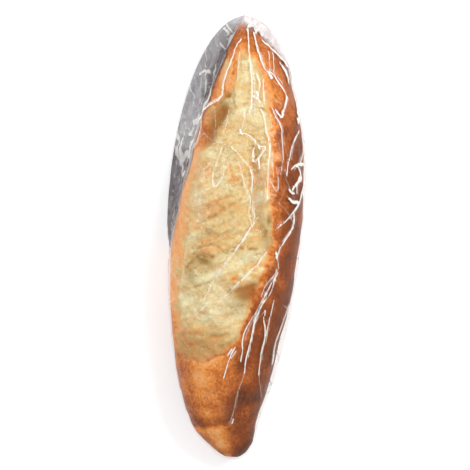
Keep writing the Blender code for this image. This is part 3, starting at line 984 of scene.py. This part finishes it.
def film_surface(settings, bread):
    """The film's grid and what its finish needs at each point.

    The stretched sections are pressed in by pleats that run in to both ends and by crumples where the film is
    loose, and raised to a ridge along every fold. Each point keeps its distance to the nearest fold.
    """
    rows, columns = 338, 286
    gap = 1.3
    station = stations(0.3 - 0.5 * BAG_LENGTH, 0.5 * BAG_LENGTH - 0.3, rows, 0.22)
    sections = [stretched_section(y, columns, gap) for y in station]
    x = np.array([section[0] for section in sections])
    z = np.array([section[1] for section in sections])
    y = np.broadcast_to(station[:, None], x.shape)
    around = unrolled(x, z)
    points = np.stack([x, y, z], axis=2)
    flank = (x - loaf_centre(y)) / np.maximum(loaf_half_width(y), 1.0)
    side = np.where(flank > 0.0, eased(95.0, 150.0, y), eased(-90.0, -15.0, y))
    loose = eased(0.97, 1.10, np.abs(flank)) * side
    upward = surface_normals(points)[..., 2]
    above = eased(0.0, 0.15, upward)
    slope = np.clip(upward, 0.35, 1.0)

    folds = [(fold[0], fold_points(fold[1:], x, y, upward, around)) for fold in FOLDS]
    folds += [(fold[0], fold_points(fold[1:], x, y, upward, around)) for fold in GLINTS]
    folds += companions(folds)
    folds += small_folds(settings.small_folds, 175.0)
    distance = np.full(x.shape, 50.0)
    strength = np.zeros(x.shape)
    ridge = np.zeros(x.shape)
    for power, path in folds:
        low, high = path.min(axis=0) - 6.0, path.max(axis=0) + 6.0
        near = (around > low[0]) & (around < high[0]) & (y > low[1]) & (y < high[1])
        away = distance_to_path(around[near], y[near], path) * slope[near]
        nearer = away / (0.3 + power) < distance[near] / (0.3 + strength[near])
        distance[near] = np.where(nearer, away, distance[near])
        strength[near] = np.where(nearer, power, strength[near])
        ridge[near] = np.maximum(ridge[near], min(power, 1.0) * np.exp(-((away / 1.4) ** 2)))

    free = eased(0.0, 9.0, z - tip_lift(y))
    taper = np.minimum(1.0, bag_half_width(y) / 16.0)
    place = np.arange(columns)[None, :] / columns
    to_end = 192.2 - np.abs(y)
    wander = 0.35 * np.sin(2.0 * np.pi * (2.0 * place + 0.009 * y)) + 0.9 * np.sin(0.011 * y)
    pleats = np.abs(np.sin(np.pi * 20.0 * place + wander)) * (0.1 + 2.2 * np.exp(-to_end / 40.0))
    pleats = pleats * (0.25 + 0.75 * eased(-60.0, 60.0, y))
    sheet = np.stack([around, 0.45 * y, 0.0 * z], axis=2)
    crumple = np.minimum(np.abs(ripples(sheet, 16.0, 61)), 1.5) + 0.4 * np.abs(ripples(sheet, 7.0, 62))
    depth = 0.20 + (settings.crumple_depth / MM - 0.20) * loose
    press = taper * free * (depth * crumple + 0.8 * pleats)
    rise = settings.ridge_height / MM * ridge * free
    points = points + (rise - press)[..., None] * surface_normals(points)
    points = held_outside(points, bread, 0.25)
    points[..., 2] = np.maximum(points[..., 2], 0.15)

    # Painted reflections: broad pale patches over the film, where the lamps would show.
    veil = spot(x, y, (-33.0, 32.0), (6.0, 28.0)) + 0.9 * spot(x, y, (19.0, 42.0), (4.5, 22.0))
    veil = veil + 0.6 * spot(x, y, (12.0, 110.0), (7.0, 16.0))
    veil = veil + 0.5 * spot(x, y, (-12.0, -62.0), (20.0, 14.0))
    # Painted reflection: pinkish white over the loose film at the top right and over the gathered top end.
    right_corner = eased(98.0, 130.0, y) * loose * (flank > 0.0)
    bright = np.maximum(right_corner, spot(x, y, (4.0, 189.0), (13.0, 7.0)))
    # Painted shade: a grey sheet over the loose film down the left, darkest beside the loaf and lighter
    # higher up.
    left = loose * (flank < 0.0)
    beside = eased(-1.42, -1.14, flank) * eased(-0.93, -1.0, flank) * (flank < 0.0)
    beside = beside * eased(100.0, 124.0, y) * eased(186.0, 170.0, y)
    pale = eased(66.0, 82.0, y) * (1.0 - beside) * (1.0 - 0.45 * eased(128.0, 150.0, y))
    murk = np.clip(left * (1.0 - 0.45 * eased(66.0, 82.0, y)) + 0.85 * beside, 0.0, 1.0)
    # Painted shade: a dark line along the loose film's steep foot, just above the floor.
    hem = hump(z, 1.5, 2.2) * eased(0.75, 0.2, upward) * np.clip(loose, 0.0, 1.0)
    attributes = {
        "fold_distance": distance,
        "fold_strength": strength,
        "murk": murk * above * eased(-55.0, 15.0, y),
        "pale": pale,
        "hem": hem,
        "veil": np.clip(veil, 0.0, 1.0) * (z > 0.4 * z.max(axis=1, keepdims=True)),
        "bright": np.clip(bright, 0.0, 1.0) * above,
    }
    return points, attributes


def film_material(settings):
    """Thin clear film: glossy by angle, with painted highlights on its folds, painted reflections, and
    painted grey shade on the loose film.
    """
    recipe = Recipe("clear_film")
    distance, strength = recipe.attribute("fold_distance"), recipe.attribute("fold_strength")
    murk, pale = recipe.attribute("murk"), recipe.attribute("pale")
    veil, bright, hem = (recipe.attribute(name) for name in ("veil", "bright", "hem"))
    # Painted highlights: a white line along each fold, wider and stronger on the strong folds.
    broken = recipe.noise(170.0, 2.0, 0.6).eased(0.34, 0.60)
    width = 0.14 + 0.38 * strength * (0.5 + 0.5 * broken)
    line = (1.0 - (distance / width).eased(0.6, 1.4)) * (strength**1.2).at_most(1.0)
    crinkle = recipe.noise(150.0, 3.0, 0.6)
    fine = recipe.noise(520.0, 2.0, 0.5)
    ridge = 1.0 - (distance / 2.2).at_most(1.0)
    relief = recipe.bump(0.5 * crinkle + 0.10 * fine + 0.6 * strength * ridge, 0.0007, 1.0)
    cloudy = recipe.noise(90.0, 3.0, 0.6).eased(0.30, 0.75)
    streaky = recipe.noise(120.0, 3.0, 0.7, (1.0, 0.35, 1.0)).eased(0.42, 0.66)
    # The painted highlights and reflections, and how much of the opaque film they make white rather than
    # grey.
    highlights_and_reflections = 0.95 * line + 0.24 * veil * cloudy + bright * (0.62 + 0.28 * streaky)
    # Painted shade over the loose film, and along its foot.
    shade_cover = murk * (0.68 + 0.24 * cloudy) + 0.75 * hem
    cover = (highlights_and_reflections + shade_cover).at_most(0.95)
    highlight_share = (highlights_and_reflections / (highlights_and_reflections + shade_cover + 0.001)).at_most(1.0)
    # How light the painted grey shade is.
    lightness = (pale * (0.55 + 0.45 * cloudy) + 0.20 * streaky - hem).at_least(0.0).at_most(1.0)
    grey = recipe.colours(lightness, settings.dark_shade_colour, settings.light_shade_colour)
    # How much of the painted white is the pinkish painted reflection.
    gathered = (bright * (1.2 - streaky)).at_most(1.0)
    white = recipe.colours(gathered, settings.fold_highlight_colour, settings.blush_reflection_colour)
    solid_colour = recipe.colours(highlight_share, grey, white)
    solid = recipe.node(
        "ShaderNodeBsdfPrincipled",
        None,
        {"Base Color": solid_colour, "Roughness": 0.30, "Normal": relief},
    )
    clear = recipe.node("ShaderNodeBsdfTransparent", None, {"Color": (*settings.tint, 1.0)})
    gloss = recipe.node("ShaderNodeBsdfGlossy", None, {"Roughness": 0.10, "Normal": relief})
    edge_on = recipe.node("ShaderNodeLayerWeight", None, {"Blend": 0.5, "Normal": relief}, output="Facing")
    sheet = recipe.node("ShaderNodeMixShader", None, {0: 0.012 + 0.5 * edge_on**5.0, 1: clear, 2: gloss})
    return recipe.finish(recipe.node("ShaderNodeMixShader", None, {0: cover, 1: sheet, 2: solid}))


class OBJECT_OT_build_film(bpy.types.Operator):
    """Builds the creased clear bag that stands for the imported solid"""

    bl_idname = "bagged_loaf.build_film"
    bl_label = "Build film"

    def execute(self, context):
        settings = context.scene.bagged_loaf_film
        bread = bread_surface(context.scene.bagged_loaf_bread)[0]
        points, attributes = film_surface(settings, bread)
        film = closed_mesh("film_bag", points, attributes)
        film.data.materials.append(film_material(settings))
        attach(film, "root")
        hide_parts("bagged_loaf")
        return {"FINISHED"}


# ---------------------------------------------------------------------------------------------------------
# The stage


def floor_material(settings):
    """A pale floor that keeps the object's shadow, and is lifted to a clean white where nothing shades it."""
    recipe = Recipe("pale_floor")
    rays = recipe.tree.nodes.new("ShaderNodeLightPath")
    seen = Value(recipe, rays.outputs["Is Camera Ray"])
    seen = seen.at_least(Value(recipe, rays.outputs["Is Glossy Ray"]))
    seen = seen.at_least(Value(recipe, rays.outputs["Is Transmission Ray"]))
    inputs = {
        "Base Color": (*settings.floor_colour, 1.0),
        "Roughness": 0.9,
        "Specular IOR Level": 0.0,
        "Emission Color": (1.0, 1.0, 1.0, 1.0),
        "Emission Strength": 0.36 * seen,
    }
    return recipe.finish(recipe.node("ShaderNodeBsdfPrincipled", None, inputs))


def add_floor(settings):
    """A level square just under the bag."""
    half, level = 3.0, -0.0004
    corners = [(-half, -half, level), (half, -half, level), (half, half, level), (-half, half, level)]
    mesh = bpy.data.meshes.new("floor")
    mesh.from_pydata(corners, [], [(0, 1, 2, 3)])
    floor = bpy.data.objects.new("floor", mesh)
    bpy.context.scene.collection.objects.link(floor)
    floor.data.materials.append(floor_material(settings))


def point_at(item, target):
    """Turns a lamp or the camera so that it looks at target."""
    direction = target - np.array(item.location)
    yaw = math.atan2(direction[0], -direction[1])
    pitch = math.atan2(math.hypot(direction[0], direction[1]), -direction[2])
    item.rotation_euler = (pitch, 0.0, yaw + math.pi)


def add_lamp(name, place, size, power, colour):
    """A rectangular lamp aimed at the middle of the loaf."""
    data = bpy.data.lights.new(name, "AREA")
    data.shape = "RECTANGLE"
    data.size, data.size_y = size
    data.energy = power
    data.color = colour
    lamp = bpy.data.objects.new(name, data)
    bpy.context.scene.collection.objects.link(lamp)
    lamp.location = place
    point_at(lamp, np.array([0.0, 0.0, 0.03]))


def add_sky(settings):
    """Even light from all round, which is a plain white wherever it is seen."""
    world = bpy.data.worlds.new("room")
    world.use_nodes = True
    nodes, links = world.node_tree.nodes, world.node_tree.links
    background = nodes["Background"]
    background.inputs["Color"].default_value = (1.0, 1.0, 1.0, 1.0)
    rays = nodes.new("ShaderNodeLightPath")
    seen = rays.outputs["Is Camera Ray"]
    for name in ("Is Glossy Ray", "Is Transmission Ray"):
        either = nodes.new("ShaderNodeMath")
        either.operation = "MAXIMUM"
        links.new(seen, either.inputs[0])
        links.new(rays.outputs[name], either.inputs[1])
        seen = either.outputs[0]
    strength = nodes.new("ShaderNodeMapRange")
    strength.inputs["To Min"].default_value = settings.sky_strength
    strength.inputs["To Max"].default_value = 1.0
    links.new(seen, strength.inputs["Value"])
    links.new(strength.outputs[0], background.inputs["Strength"])
    bpy.context.scene.world = world


def add_camera(settings):
    """A long lens straight above, turned a little so that the gathered end leans to the right."""
    data = bpy.data.cameras.new("camera")
    data.sensor_width = 36.0
    data.lens = data.sensor_width * settings.camera_height / (404.0 * MM)
    camera = bpy.data.objects.new("camera", data)
    bpy.context.scene.collection.objects.link(camera)
    lean = math.radians(1.5)
    turn = settings.camera_turn
    back = np.array([math.sin(turn) * math.sin(lean), -math.cos(turn) * math.sin(lean), math.cos(lean)])
    target = np.array([0.9, 0.4, 30.0]) * MM
    camera.location = target + settings.camera_height * back
    camera.rotation_euler = (lean, 0.0, turn)
    bpy.context.scene.camera = camera


class OBJECT_OT_build_stage(bpy.types.Operator):
    """Builds the floor, the lamps, the room light and the camera"""

    bl_idname = "bagged_loaf.build_stage"
    bl_label = "Build stage"

    def execute(self, context):
        settings = context.scene.bagged_loaf_stage
        add_floor(settings)
        add_lamp("key", (0.75, 0.55, 1.05), (0.55, 0.55), settings.key_power, (1.0, 0.985, 0.96))
        add_lamp("fill", (-0.95, 0.35, 0.75), (0.35, 0.9), settings.fill_power, (0.95, 0.97, 1.0))
        add_lamp("glint", (0.25, -1.1, 0.8), (0.9, 0.15), 0.2 * settings.fill_power, (1.0, 1.0, 1.0))
        add_sky(settings)
        add_camera(settings)
        context.scene.view_settings.view_transform = "Standard"
        return {"FINISHED"}


class VIEW3D_PT_bagged_loaf(bpy.types.Panel):
    """Lists the loaf's builders and their settings"""

    bl_idname = "VIEW3D_PT_bagged_loaf"
    bl_label = "Bagged loaf"
    bl_space_type = "VIEW_3D"
    bl_region_type = "UI"
    bl_category = "Bagged loaf"

    def draw(self, context):
        for operator, group in zip(BUILDERS, GROUPS):
            box = self.layout.box()
            box.operator(operator.bl_idname)
            settings = getattr(context.scene, group)
            for name in settings.bl_rna.properties.keys():
                if name not in ("name", "rna_type"):
                    box.prop(settings, name)


BUILDERS = (OBJECT_OT_build_bread, OBJECT_OT_build_film, OBJECT_OT_build_stage)
GROUPS = {
    "bagged_loaf_bread": BreadSettings,
    "bagged_loaf_film": FilmSettings,
    "bagged_loaf_stage": StageSettings,
}
CLASSES = (*GROUPS.values(), *BUILDERS, VIEW3D_PT_bagged_loaf)


def register():
    """Registers the classes and hangs each group of settings on the scene."""
    for kind in CLASSES:
        bpy.utils.register_class(kind)
    for name, kind in GROUPS.items():
        setattr(bpy.types.Scene, name, bpy.props.PointerProperty(type=kind))


def unregister():
    """Undoes register, in the opposite order."""
    for name in GROUPS:
        delattr(bpy.types.Scene, name)
    for kind in reversed(CLASSES):
        bpy.utils.unregister_class(kind)


def main():
    """Builds everything."""
    register()
    bpy.ops.bagged_loaf.build_bread()
    bpy.ops.bagged_loaf.build_film()
    bpy.ops.bagged_loaf.build_stage()


if __name__ == "__main__":
    main()
